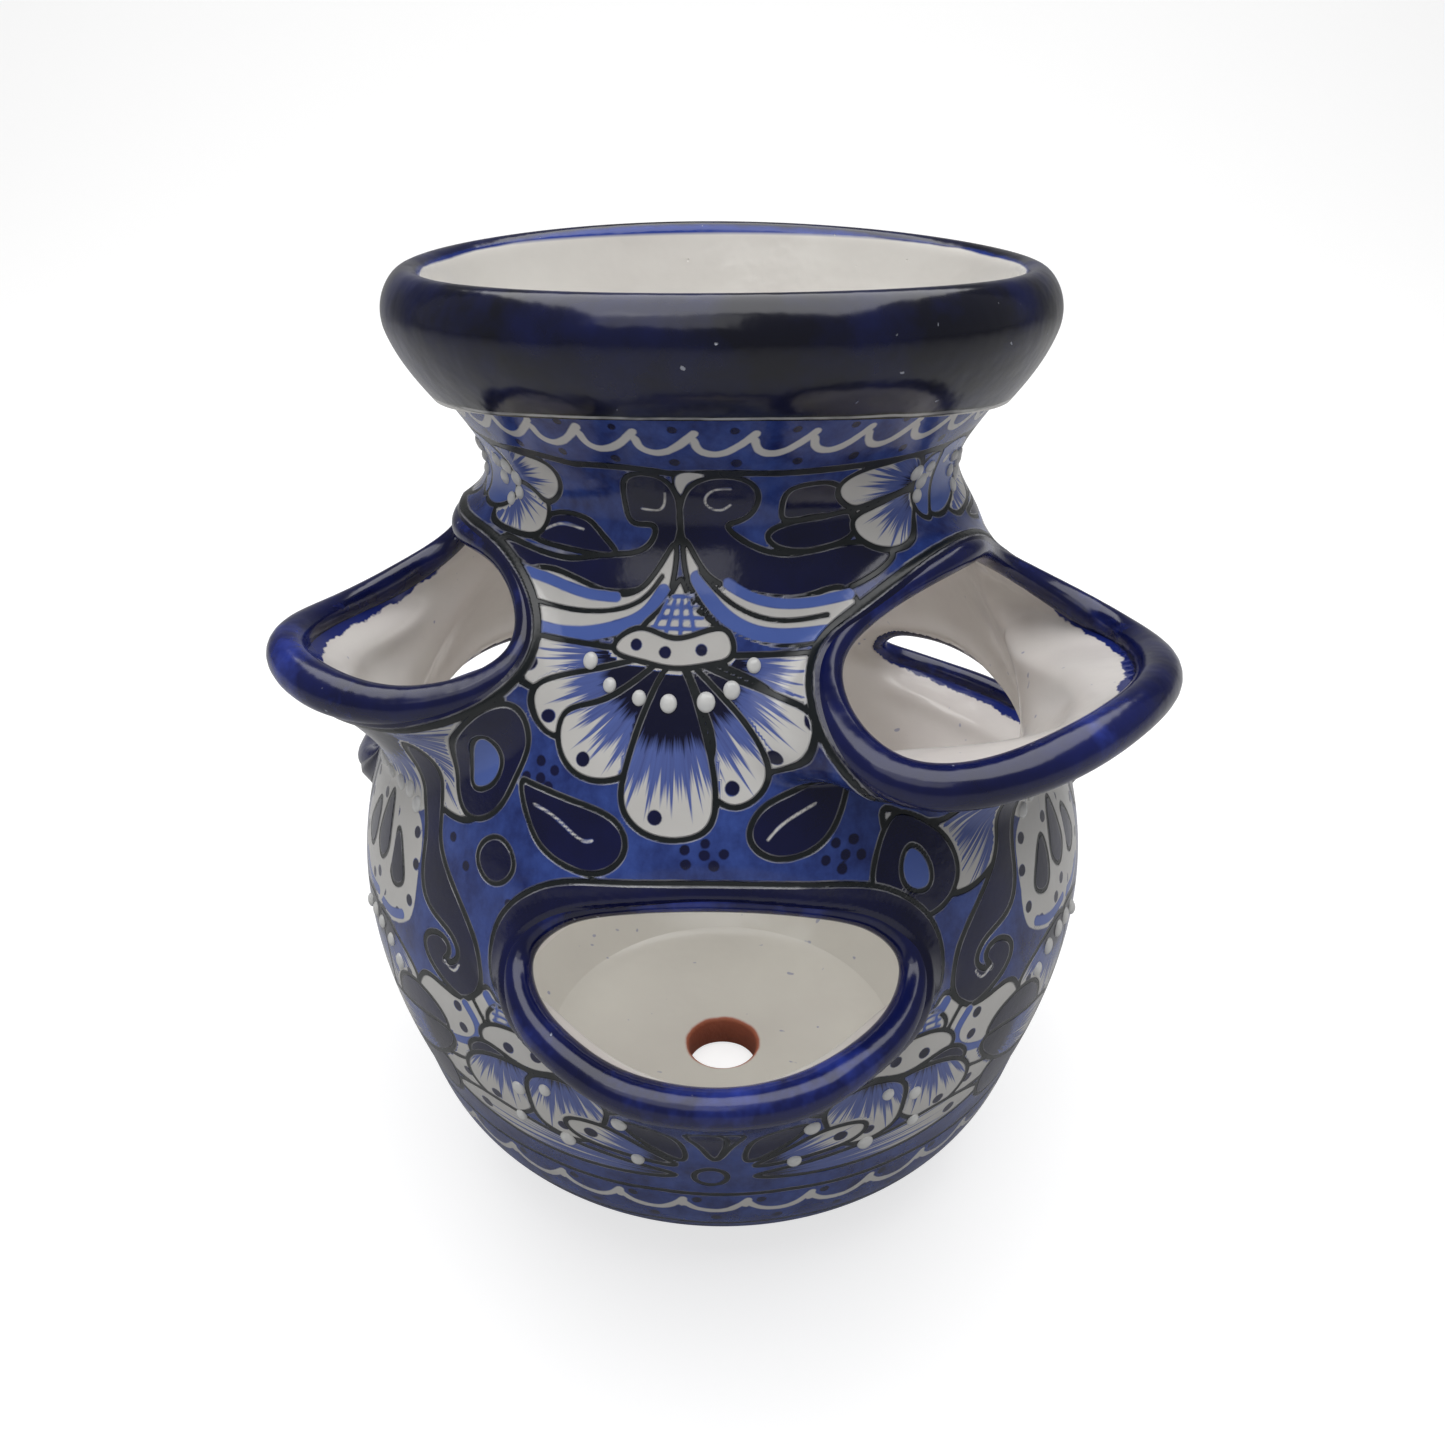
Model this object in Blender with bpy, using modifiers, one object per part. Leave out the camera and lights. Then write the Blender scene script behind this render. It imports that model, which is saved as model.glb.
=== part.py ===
"""Blue and white talavera strawberry pot: a hand-built herb pot with side pockets.

Metres, +Z up, the front of the pot toward -Y.  The origin is the centre of the foot on the ground.
The clay pieces are those a potter makes and lutes together: two press-moulded wall halves with the
pockets pushed out of them, a floor slab with its drain hole, a thick mouth rim and one coil round
each pocket's opening.  Azimuths are degrees about the pot's axis, 0 at the front, growing toward +X.
"""
import math

import bmesh
import bpy
import numpy as np

NAME = "talavera_pot"

# Driving dimensions
HEIGHT = 0.254
WALL = 0.007
THICKEST = 0.0135
GAP = 0.0003
SEAM_ANGLE = 0.006
MOUTH_BASE = 0.228
FLOOR_TOP = 0.0095
DRAIN_RADIUS = 0.0105

# Outer radius of the wall at a few heights: foot, belly, shoulder, neck, flare
WALL_HEIGHTS = [-0.004, 0.008, 0.020, 0.048, 0.090, 0.140, 0.185, 0.2005, 0.221, 0.234]
WALL_RADII = [0.0455, 0.0620, 0.0775, 0.0917, 0.1008, 0.0891, 0.0695, 0.0630, 0.0732, 0.0825]

# The mouth's roll as (radius, height): up the inside, over the crest and down the outside
MOUTH_ROLL = [(0.0722, 0.2380), (0.0741, 0.2440), (0.0755, 0.2485), (0.0768, 0.2522), (0.0798, HEIGHT),
              (0.0833, 0.2525), (0.0857, 0.2490), (0.0868, 0.2440), (0.0856, 0.2378), (0.0822, 0.2322)]

# A pocket's rim, in the pocket's own frame: (sideways, outward, up) for the top point, the shoulder,
# the side, the cheek and the lip's tip.  The other side mirrors it.
RIM_RIGHT = [(0, 0.0731, 0.1869), (0.0274, 0.0655, 0.1787), (0.0426, 0.0661, 0.1702),
             (0.0524, 0.0899, 0.1570), (0, 0.1194, 0.1616)]
RIM_LEFT = [(0, 0.0700, 0.1865), (0.0256, 0.0640, 0.1843), (0.0431, 0.0660, 0.1697),
            (0.0346, 0.0943, 0.1574), (0, 0.1157, 0.1592)]
RIM_LOWER = [(0, 0.0905, 0.1233), (0.0221, 0.0890, 0.1208), (0.0352, 0.0872, 0.1162),
             (0.0436, 0.0885, 0.1070), (0.0410, 0.0985, 0.1003), (0.0310, 0.1085, 0.0966),
             (0.0190, 0.1155, 0.0944), (0, 0.1191, 0.0937)]
RIM_BACK = [tuple((a + b) / 2 for a, b in zip(p, q)) for p, q in zip(RIM_RIGHT, RIM_LEFT)]

# The rim's coil is thinnest where it lies on the wall and thickest at the lip
UPPER_COIL = (0.0030, 0.0053)
LOWER_COIL = (0.0028, 0.0042)

# node name: rim outline, coil, azimuth, centre height, how far the wall takes to fall back below the lip
POCKETS = {
    "rim_upper_right": (RIM_RIGHT, UPPER_COIL, 50.0, 0.170, 0.036),
    "rim_upper_left": (RIM_LEFT, UPPER_COIL, -69.0, 0.170, 0.036),
    "rim_upper_back": (RIM_BACK, UPPER_COIL, 171.0, 0.170, 0.036),
    "rim_lower_front": (RIM_LOWER, LOWER_COIL, -1.0, 0.108, 0.034),
    "rim_lower_right": (RIM_LOWER, LOWER_COIL, 120.0, 0.108, 0.034),
    "rim_lower_left": (RIM_LOWER, LOWER_COIL, -120.0, 0.108, 0.034),
}
SIDE_FALL = 0.015
TOP_FALL = 0.010
SWELL = 1.3
PUNCH_REACH = math.radians(45)

# Fineness of the pieces, and the rolled-out clay: its thickness, and its units for a metre of height
RIM_POINTS = 36
OUTLINE_FINENESS = 4
COIL_ROUNDNESS = 2
KNOT_POWER = 0.7
PANEL_COLUMNS = 34
PANEL_ROWS = 25
MOUTH_STEPS = 64
FLOOR_STEPS = 48
MERGE = 0.00001
SHEET_SCALE = 10
SLAB = 0.1
SLOPE_STEP = 0.002
CREASE = math.radians(40)


def clear_scene():
    for obj in list(bpy.data.objects):
        bpy.data.objects.remove(obj, do_unlink=True)


def collection(name):
    made = bpy.data.collections.new(name)
    bpy.context.scene.collection.children.link(made)
    return made


def glaze(name, colour, roughness):
    """A glazed or bare clay finish for one piece."""
    mat = bpy.data.materials.new(name)
    mat.use_nodes = True
    shader = mat.node_tree.nodes["Principled BSDF"]
    shader.inputs["Base Color"].default_value = (*colour, 1)
    shader.inputs["Roughness"].default_value = roughness
    shader.inputs["Metallic"].default_value = 0.0
    return mat


def add_object(name, mesh, where, material=None):
    obj = bpy.data.objects.new(name, mesh)
    where.objects.link(obj)
    if material:
        mesh.materials.clear()
        mesh.materials.append(material)
    return obj


def add_cutter(name, mesh):
    obj = add_object(name, mesh, cutters)
    obj.hide_render = True
    obj.display_type = "WIRE"
    return obj


def mesh_from(obj):
    """The object's mesh with its modifiers applied, or a curve's tube."""
    bpy.context.view_layer.update()
    seen = obj.evaluated_get(bpy.context.evaluated_depsgraph_get())
    return bpy.data.meshes.new_from_object(seen)


def boolean(obj, cutter, operation):
    mod = obj.modifiers.new(operation.lower() + "_" + cutter.name, "BOOLEAN")
    mod.operation = operation
    mod.object = cutter
    mod.solver = "EXACT"


def wall_radius(height):
    """Outer radius of the turned wall: a smooth curve through the driving heights."""
    z = np.array(WALL_HEIGHTS)
    r = np.array(WALL_RADII)
    slope = np.gradient(r, z)
    height = np.clip(height, z[0], z[-1])
    i = np.clip(np.searchsorted(z, height) - 1, 0, len(z) - 2)
    step = z[i + 1] - z[i]
    t = (height - z[i]) / step
    return (
        (2 * t**3 - 3 * t**2 + 1) * r[i]
        + (t**3 - 2 * t**2 + t) * step * slope[i]
        + (3 * t**2 - 2 * t**3) * r[i + 1]
        + (t**3 - t**2) * step * slope[i + 1]
    )


def closed_curve(keys, count):
    """A smooth closed curve through the key points: a periodic cubic spline."""
    keys = np.array(keys, float)
    n = len(keys)
    step = np.linalg.norm(np.roll(keys, -1, 0) - keys, axis=1) ** KNOT_POWER
    before = np.roll(step, 1)
    system = np.zeros((n, n))
    for i in range(n):
        system[i, (i - 1) % n] += before[i]
        system[i, i] += 2 * (before[i] + step[i])
        system[i, (i + 1) % n] += step[i]
    ahead = (np.roll(keys, -1, 0) - keys) / step[:, None]
    bend = np.linalg.solve(system, 6 * (ahead - np.roll(ahead, 1, 0)))
    knots = np.concatenate([[0], np.cumsum(step)])
    points = []
    for s in np.linspace(0, knots[-1], count, endpoint=False):
        i = min(int(np.searchsorted(knots, s, side="right")) - 1, n - 1)
        a, b, h = s - knots[i], knots[i + 1] - s, step[i]
        j = (i + 1) % n
        points.append(
            (bend[i] * b**3 + bend[j] * a**3) / (6 * h)
            + (keys[i] / h - bend[i] * h / 6) * b
            + (keys[j] / h - bend[j] * h / 6) * a
        )
    return np.array(points)


def rim_outline(keys, azimuth, count=RIM_POINTS):
    """World points of one pocket's rim centreline."""
    mirrored = [(-x, y, z) for x, y, z in reversed(keys[1:-1])]
    local = closed_curve(list(keys) + mirrored, count)
    a = math.radians(azimuth)
    sideways = np.array([math.cos(a), math.sin(a), 0])
    outward = np.array([math.sin(a), -math.cos(a), 0])
    return local[:, :1] * sideways + local[:, 1:2] * outward + local[:, 2:] * np.array([0, 0, 1])


class Pouch:
    """How one pocket pushes the wall out, in the wall's unrolled (azimuth, height) sheet."""

    def __init__(self, keys, azimuth, middle, fall):
        rim = rim_outline(keys, azimuth, OUTLINE_FINENESS * RIM_POINTS)
        self.azimuth, self.middle, self.fall = math.radians(azimuth), middle, fall
        radius = np.hypot(rim[:, 0], rim[:, 1])
        turn = self.turned(np.arctan2(rim[:, 0], -rim[:, 1]))
        self.across = float(wall_radius(middle))
        self.outline = np.column_stack([turn, rim[:, 2]])
        angle = np.arctan2(rim[:, 2] - middle, turn * self.across)
        order = np.argsort(angle)
        self.angle = angle[order]
        self.reach = np.hypot(turn * self.across, rim[:, 2] - middle)[order]
        self.push = (radius - wall_radius(rim[:, 2]))[order]

    def turned(self, azimuth):
        return (azimuth - self.azimuth + math.pi) % (2 * math.pi) - math.pi

    def bulge(self, azimuth, height):
        """How far the wall stands out at a place on the sheet."""
        u = self.turned(azimuth) * self.across
        v = height - self.middle
        angle, away = np.arctan2(v, u), np.hypot(u, v)
        reach = np.interp(angle, self.angle, self.reach, period=2 * math.pi)
        push = np.interp(angle, self.angle, self.push, period=2 * math.pi)
        low = np.clip(-np.sin(angle), 0, 1)
        high = np.clip(np.sin(angle), 0, 1)
        width = SIDE_FALL + (self.fall - SIDE_FALL) * low + (TOP_FALL - SIDE_FALL) * high
        t = np.clip((away - reach) / width, 0, 1)
        inside = np.clip(away / reach, 0, 1)
        return push * (1 - t) ** 2 * (1 + SWELL * t) * inside


def outer_radius(azimuth, height):
    return wall_radius(height) + sum(p.bulge(azimuth, height) for p in pouches)


def wall_point(azimuth, height, inner):
    """A point of the bent wall.  The clay keeps its thickness square to the surface, as far as it can."""
    radius = outer_radius(azimuth, height)
    if inner:
        up, turn = SLOPE_STEP, SLOPE_STEP / radius
        rise = (outer_radius(azimuth, height + up) - outer_radius(azimuth, height - up)) / (2 * up)
        across = (outer_radius(azimuth + turn, height) - outer_radius(azimuth - turn, height)) / (2 * up)
        radius -= min(WALL * math.sqrt(1 + rise**2 + across**2), THICKEST)
    return radius * math.sin(azimuth), -radius * math.cos(azimuth), height


def extruded(name, bm, depth):
    """A cutter mesh from a flat face set, thickened along Z."""
    made = bmesh.ops.extrude_face_region(bm, geom=bm.faces[:])
    for item in made["geom"]:
        if isinstance(item, bmesh.types.BMVert):
            item.co.z += depth
    bmesh.ops.recalc_face_normals(bm, faces=bm.faces[:])
    mesh = bpy.data.meshes.new(name)
    bm.to_mesh(mesh)
    bm.free()
    return add_cutter(name, mesh)


def flat_slab(name, low_azimuth, high_azimuth):
    """The wall as rolled-out clay: x is the azimuth in radians, y the height in decimetres."""
    bm = bmesh.new()
    bmesh.ops.create_grid(bm, x_segments=PANEL_COLUMNS, y_segments=PANEL_ROWS, size=1.0)
    for vert in bm.verts:
        u, v = (vert.co.x + 1) / 2, (vert.co.y + 1) / 2
        vert.co.x = low_azimuth + (high_azimuth - low_azimuth) * u
        vert.co.y = SHEET_SCALE * (MOUTH_BASE - GAP) * v
    return extruded(name, bm, SLAB)


def pocket_punch(name, pouch, shift):
    """A prism with the opening's outline, to punch it out of the flat slab."""
    bm = bmesh.new()
    bm.faces.new(
        [bm.verts.new((pouch.azimuth + turn + shift, height * SHEET_SCALE, -SLAB))
         for turn, height in pouch.outline[::OUTLINE_FINENESS]]
    )
    return extruded(name, bm, 3 * SLAB)


def wall_half(name, middle, material):
    """One press-moulded half: the slab is punched, then bent to the pot's shape with its pockets."""
    reach = math.pi / 2 - SEAM_ANGLE / 2
    slab = flat_slab(name + "_slab", middle - reach, middle + reach)
    for pocket, pouch in zip(POCKETS, pouches):
        for turns in (-1, 0, 1):
            shift = turns * 2 * math.pi
            if abs(pouch.azimuth + shift - middle) < reach + PUNCH_REACH:
                boolean(slab, pocket_punch(f"punch_{pocket}_{name}_{turns}", pouch, shift), "DIFFERENCE")
    bm = bmesh.new()
    bm.from_mesh(mesh_from(slab))
    bmesh.ops.triangulate(bm, faces=bm.faces[:])
    for vert in bm.verts:
        vert.co = wall_point(vert.co.x, vert.co.y / SHEET_SCALE, vert.co.z < SLAB / 2)
    mesh = bpy.data.meshes.new(name)
    bm.to_mesh(mesh)
    bm.free()
    mesh.set_sharp_from_angle(angle=CREASE)
    half = add_object(name, mesh, parts, material)
    for pocket in POCKETS:
        boolean(half, grooves[pocket], "DIFFERENCE")


def coil_radii(points, thin, thick):
    """The coil's radius at each point of a rim: it grows with the reach from the pot's axis."""
    reach = np.hypot(points[:, 0], points[:, 1])
    return thin + (thick - thin) * (reach - reach.min()) / (reach.max() - reach.min())


def coil(name, points, radii, where, material=None):
    """A closed roll of clay along a rim."""
    curve = bpy.data.curves.new(name, "CURVE")
    curve.dimensions = "3D"
    curve.bevel_depth = 1.0
    curve.bevel_resolution = COIL_ROUNDNESS
    line = curve.splines.new("POLY")
    line.points.add(len(points) - 1)
    for point, co, radius in zip(line.points, points, radii):
        point.co = (*co, 1)
        point.radius = radius
    line.use_cyclic_u = True
    tube = bpy.data.objects.new(name + "_curve", curve)
    where.objects.link(tube)
    mesh = mesh_from(tube)
    bpy.data.objects.remove(tube, do_unlink=True)
    mesh.name = name
    mesh.shade_smooth()
    return add_object(name, mesh, where, material)


def turned(name, profile, steps, where, material=None):
    """A ring turned on the wheel from a closed (radius, height) profile."""
    mesh = bpy.data.meshes.new(name)
    count = len(profile)
    mesh.from_pydata([(r, 0, z) for r, z in profile], [(i, (i + 1) % count) for i in range(count)], [])
    obj = add_object(name, mesh, where, material)
    screw = obj.modifiers.new("turn", "SCREW")
    screw.axis = "Z"
    screw.steps = screw.render_steps = steps
    screw.use_merge_vertices = True
    screw.merge_threshold = MERGE
    return obj


def inner_radius(azimuth, height):
    x, y, _ = wall_point(azimuth, height, True)
    return math.hypot(x, y)


def mouth_profile():
    """The thick roll of the mouth, closed by its flat foot on the wall."""
    outer_foot = (float(wall_radius(MOUTH_BASE)), MOUTH_BASE)
    inner_foot = (inner_radius(0.0, MOUTH_BASE), MOUTH_BASE)
    return [inner_foot] + MOUTH_ROLL + [outer_foot]


def floor_profile():
    """The floor slab: its slanted edge follows the inside of the wall, and the drain hole is its bore."""
    edge = [(inner_radius(0.0, height) - 2 * GAP, height)
            for height in (FLOOR_TOP, 2 * FLOOR_TOP / 3, FLOOR_TOP / 3, 0.0)]
    return [(DRAIN_RADIUS, FLOOR_TOP)] + edge + [(DRAIN_RADIUS, 0.0)]


clear_scene()
parts = collection(NAME)
cutters = collection(NAME + "_cutters")
pouches = [Pouch(keys, azimuth, middle, fall) for keys, _, azimuth, middle, fall in POCKETS.values()]

NAVY = (0.008, 0.010, 0.070)
COBALT = (0.045, 0.085, 0.400)
WHITE = (0.66, 0.62, 0.58)
GLOSS = 0.12
SATIN = 0.30
grooves = {}
for pocket, (keys, (thin, thick), azimuth, middle, fall) in POCKETS.items():
    line = rim_outline(keys, azimuth)
    radii = coil_radii(line, thin, thick)
    coil(pocket, line, radii, parts, glaze(pocket + "_glaze", NAVY, GLOSS))
    groove = coil(pocket + "_groove", line, radii + GAP, cutters)
    groove.hide_render = True
    groove.display_type = "WIRE"
    grooves[pocket] = groove

wall_half("wall_front", 0.0, glaze("wall_front_glaze", COBALT, GLOSS))
wall_half("wall_back", math.pi, glaze("wall_back_glaze", COBALT, GLOSS))
turned("mouth_rim", mouth_profile(), MOUTH_STEPS, parts, glaze("mouth_rim_glaze", NAVY, GLOSS))
turned("floor_slab", floor_profile(), FLOOR_STEPS, parts, glaze("floor_glaze", WHITE, SATIN))
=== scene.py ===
import math

import bmesh
import bpy
import numpy as np
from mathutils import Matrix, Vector


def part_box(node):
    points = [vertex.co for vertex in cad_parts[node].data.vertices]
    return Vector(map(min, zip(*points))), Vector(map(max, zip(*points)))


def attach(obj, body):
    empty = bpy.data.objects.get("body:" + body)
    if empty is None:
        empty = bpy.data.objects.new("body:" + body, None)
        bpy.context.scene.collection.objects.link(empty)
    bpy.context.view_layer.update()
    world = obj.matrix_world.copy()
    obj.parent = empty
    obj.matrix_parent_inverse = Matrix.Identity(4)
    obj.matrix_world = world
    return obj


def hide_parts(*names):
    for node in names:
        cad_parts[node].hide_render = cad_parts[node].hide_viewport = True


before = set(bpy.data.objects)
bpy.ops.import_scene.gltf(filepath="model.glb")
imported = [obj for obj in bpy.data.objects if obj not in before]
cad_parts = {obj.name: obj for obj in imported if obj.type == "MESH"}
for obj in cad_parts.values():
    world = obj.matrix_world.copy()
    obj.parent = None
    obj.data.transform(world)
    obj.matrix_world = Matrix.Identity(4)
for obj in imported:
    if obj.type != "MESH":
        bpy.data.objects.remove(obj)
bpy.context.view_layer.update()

# ---------------------------------------------------------------------------------------------
# The wall.  Red clay pressed into two moulds, the pockets pushed out of it while it is soft, and
# the halves luted at the sides.  Dipped in white tin glaze, its outside is then drawn with incised
# black lines and painted in cobalt with a brush.  It stands on its foot and carries every rim.

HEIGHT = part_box("mouth_rim")[1].z
MOUTH_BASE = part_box("wall_front")[1].z
WALL_HEIGHTS = np.array([-0.004, 0.008, 0.020, 0.048, 0.090, 0.140, 0.185, 0.2005, 0.221, 0.234])
WALL_RADII = np.array([0.0455, 0.0620, 0.0775, 0.0917, 0.1008, 0.0891, 0.0695, 0.0630, 0.0732, 0.0825])
WALL_THICK = 0.007
LAP = 0.0003


def wall_radius(height):
    """Outer radius of the plain turned wall at a height."""
    z, r = WALL_HEIGHTS, WALL_RADII
    slope = np.gradient(r, z)
    height = np.clip(height, z[0], z[-1])
    i = np.clip(np.searchsorted(z, height) - 1, 0, len(z) - 2)
    step = z[i + 1] - z[i]
    t = (height - z[i]) / step
    ends = (2 * t**3 - 3 * t**2 + 1) * r[i] + (3 * t**2 - 2 * t**3) * r[i + 1]
    return ends + (t**3 - 2 * t**2 + t) * step * slope[i] + (t**3 - t**2) * step * slope[i + 1]


def smooth_curve(keys, count, closed=True):
    """A smooth line through the key points: a cubic spline, closed on itself or open."""
    keys = np.array(keys, float)
    n = len(keys)
    ahead = np.roll(keys, -1, 0) - keys
    step = np.linalg.norm(ahead, axis=1) ** 0.7
    ahead /= step[:, None]
    before = np.roll(step, 1)
    system, load = np.zeros((n, n)), 6 * (ahead - np.roll(ahead, 1, 0))
    for i in range(n):
        system[i, (i - 1) % n] += before[i]
        system[i, i] += 2 * (before[i] + step[i])
        system[i, (i + 1) % n] += step[i]
    if not closed:
        for end in (0, n - 1):
            system[end], load[end] = 0, 0
            system[end, end] = 1
    bend = np.linalg.solve(system, load)
    knots = np.concatenate([[0], np.cumsum(step)])
    last = knots[-1] if closed else knots[-2]
    s = np.linspace(0, last, count, endpoint=not closed)
    i = np.minimum(np.searchsorted(knots, s, side="right") - 1, n - 1 if closed else n - 2)
    j = (i + 1) % n
    a, b, h = ((s - knots[i])[:, None], (knots[i + 1] - s)[:, None], step[i][:, None])
    return (
        (bend[i] * b**3 + bend[j] * a**3) / (6 * h)
        + (keys[i] / h - bend[i] * h / 6) * b
        + (keys[j] / h - bend[j] * h / 6) * a
    )


# A pocket's rim in its own frame (sideways, outward, up): top, shoulder, side, cheek, tip of the lip
RIM_RIGHT = [(0, 0.0731, 0.1869), (0.0274, 0.0655, 0.1787), (0.0426, 0.0661, 0.1702),
             (0.0524, 0.0899, 0.1570), (0, 0.1194, 0.1616)]
RIM_LEFT = [(0, 0.0700, 0.1865), (0.0256, 0.0640, 0.1843), (0.0431, 0.0660, 0.1697),
            (0.0346, 0.0943, 0.1574), (0, 0.1157, 0.1592)]
RIM_LOWER = [(0, 0.0905, 0.1233), (0.0221, 0.0890, 0.1208), (0.0352, 0.0872, 0.1162),
             (0.0436, 0.0885, 0.1070), (0.0410, 0.0985, 0.1003), (0.0310, 0.1085, 0.0966),
             (0.0190, 0.1155, 0.0944), (0, 0.1191, 0.0937)]
RIM_BACK = [tuple((a + b) / 2 for a, b in zip(p, q)) for p, q in zip(RIM_RIGHT, RIM_LEFT)]
UPPER_COIL, LOWER_COIL = (0.0030, 0.0053), (0.0028, 0.0042)
RIM_POINTS = 180


class Pocket:
    """A pocket's rim, and how far it pushes the wall out round it."""

    side_fall, top_fall = 0.015, 0.010

    def __init__(self, keys, coil, azimuth, middle, fall):
        keys = list(keys) + [(-x, y, z) for x, y, z in reversed(keys[1:-1])]
        local = smooth_curve(keys, RIM_POINTS)
        self.azimuth, self.middle, self.fall = math.radians(azimuth), middle, fall
        sideways = np.array([math.cos(self.azimuth), math.sin(self.azimuth), 0])
        outward = np.array([math.sin(self.azimuth), -math.cos(self.azimuth), 0])
        self.rim = local[:, :1] * sideways + local[:, 1:2] * outward + local[:, 2:] * np.array([0, 0, 1])
        out = np.hypot(local[:, 0], local[:, 1])
        self.lip = (out - out.min()) / (out.max() - out.min())
        self.roll = coil[0] + (coil[1] - coil[0]) * self.lip
        turn = self.turned(np.arctan2(self.rim[:, 0], -self.rim[:, 1]))
        self.across = float(wall_radius(middle))
        rise = self.rim[:, 2] - middle
        angle = np.arctan2(rise, turn * self.across)
        order = np.argsort(angle)
        self.angle, self.reach = angle[order], np.hypot(turn * self.across, rise)[order]
        self.push = (np.hypot(self.rim[:, 0], self.rim[:, 1]) - wall_radius(self.rim[:, 2]))[order]

    def turned(self, azimuth):
        return (azimuth - self.azimuth + math.pi) % (2 * math.pi) - math.pi

    def away(self, azimuth, height):
        """Distance from the opening's edge along the sheet (negative in the opening), and the angle."""
        u, v = self.turned(azimuth) * self.across, height - self.middle
        angle = np.arctan2(v, u)
        reach = np.interp(angle, self.angle, self.reach, period=2 * math.pi)
        return np.hypot(u, v) - reach, angle, reach

    def bulge(self, azimuth, height):
        """How far the pocket pushes the wall out at a place."""
        away, angle, reach = self.away(azimuth, height)
        push = np.interp(angle, self.angle, self.push, period=2 * math.pi)
        width = self.side_fall + (self.fall - self.side_fall) * np.clip(-np.sin(angle), 0, 1)
        width += (self.top_fall - self.side_fall) * np.clip(np.sin(angle), 0, 1)
        t = np.clip(away / width, 0, 1)
        return push * (1 - t) ** 2 * (1 + 1.3 * t) * np.clip(1 + away / reach, 0, 1)


pockets = {
    "rim_upper_right": Pocket(RIM_RIGHT, UPPER_COIL, 50.0, 0.170, 0.036),
    "rim_upper_left": Pocket(RIM_LEFT, UPPER_COIL, -69.0, 0.170, 0.036),
    "rim_upper_back": Pocket(RIM_BACK, UPPER_COIL, 171.0, 0.170, 0.036),
    "rim_lower_front": Pocket(RIM_LOWER, LOWER_COIL, -1.0, 0.108, 0.034),
    "rim_lower_right": Pocket(RIM_LOWER, LOWER_COIL, 120.0, 0.108, 0.034),
    "rim_lower_left": Pocket(RIM_LOWER, LOWER_COIL, -120.0, 0.108, 0.034),
}


def outer_radius(azimuth, height):
    """Outer radius of the wall with all its pockets."""
    return wall_radius(height) + sum(pocket.bulge(azimuth, height) for pocket in pockets.values())


def around(azimuth, radius, height):
    return np.stack([radius * np.sin(azimuth), -radius * np.cos(azimuth), height], -1)


COLUMNS = 960
ROWS = 384
azimuths = np.radians(np.arange(COLUMNS) * 360 / COLUMNS - 90)
heights = np.linspace(0, MOUTH_BASE + LAP, ROWS + 1)
A, Z = np.meshgrid(azimuths, heights, indexing="ij")
R_OUT = outer_radius(A, Z)
opening = np.min([pocket.away(A, Z)[0] for pocket in pockets.values()], axis=0)


def grid_normals(points):
    along = np.roll(points, -1, 0) - np.roll(points, 1, 0)
    up = np.gradient(points, axis=1)
    normal = np.cross(along, up)
    return normal / np.linalg.norm(normal, axis=2, keepdims=True)


def rim_gap(points, widths):
    """Millimetres from each point to the pocket rims, each taken as a tube of these radii."""
    flat = points.reshape(-1, 3)
    best = np.full(len(flat), 0.03)
    for k, pocket in enumerate(pockets.values()):
        low, high = pocket.rim.min(0) - 0.03, pocket.rim.max(0) + 0.03
        near = np.flatnonzero(((flat > low) & (flat < high)).all(1))
        line, width = pocket.rim, widths[RIM_POINTS * k:RIM_POINTS * (k + 1)]
        for some in np.array_split(near, len(near) // 8000 + 1):
            gap = ((flat[some, None] - line) ** 2).sum(2) ** 0.5 - width
            best[some] = np.minimum(best[some], gap.min(1))
    return best.reshape(points.shape[:-1]) * 1000


# The clay swells out to meet each roll, and the wall thins toward each opening's edge
SWELL, SWELL_WIDTH = 0.0027, 7.5
EDGE_THICK, MOST_THICK = 0.0042, 0.0135
rolls = np.concatenate([pocket.roll for pocket in pockets.values()])
outside = around(A, R_OUT, Z)
out_normals = grid_normals(outside)
swell = np.clip(1 - rim_gap(outside, rolls) / SWELL_WIDTH, 0, 1) ** 2 * SWELL
outside = outside + out_normals * swell[..., None]
out_normals = grid_normals(outside)
lean = np.hypot(out_normals[..., 0], out_normals[..., 1])
through = WALL_THICK / np.maximum(lean, 0.3)
thick = np.minimum(through, MOST_THICK)
thick = np.minimum(thick, EDGE_THICK + 0.9 * np.clip(opening, 0, None))
thick = np.where(Z < 0.004, through, thick)
R_IN = R_OUT - thick
free = np.clip((opening - 0.002) / 0.008, 0, 1)
for _ in range(60):
    flat = np.pad(R_IN, ((1, 1), (0, 0)), "wrap")
    flat = np.pad(flat, ((0, 0), (1, 1)), "edge")
    near = (flat[2:, 1:-1] + flat[:-2, 1:-1] + flat[1:-1, 2:] + flat[1:-1, :-2]) / 4
    R_IN += 0.5 * free * (near - R_IN)
inside = around(A, R_IN, Z)
in_normals = -grid_normals(inside)
lips = np.concatenate([pocket.lip for pocket in pockets.values()])
out_rim, in_rim = rim_gap(outside, rolls), rim_gap(inside, rolls + 0.0045 * lips - 0.0045)


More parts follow.
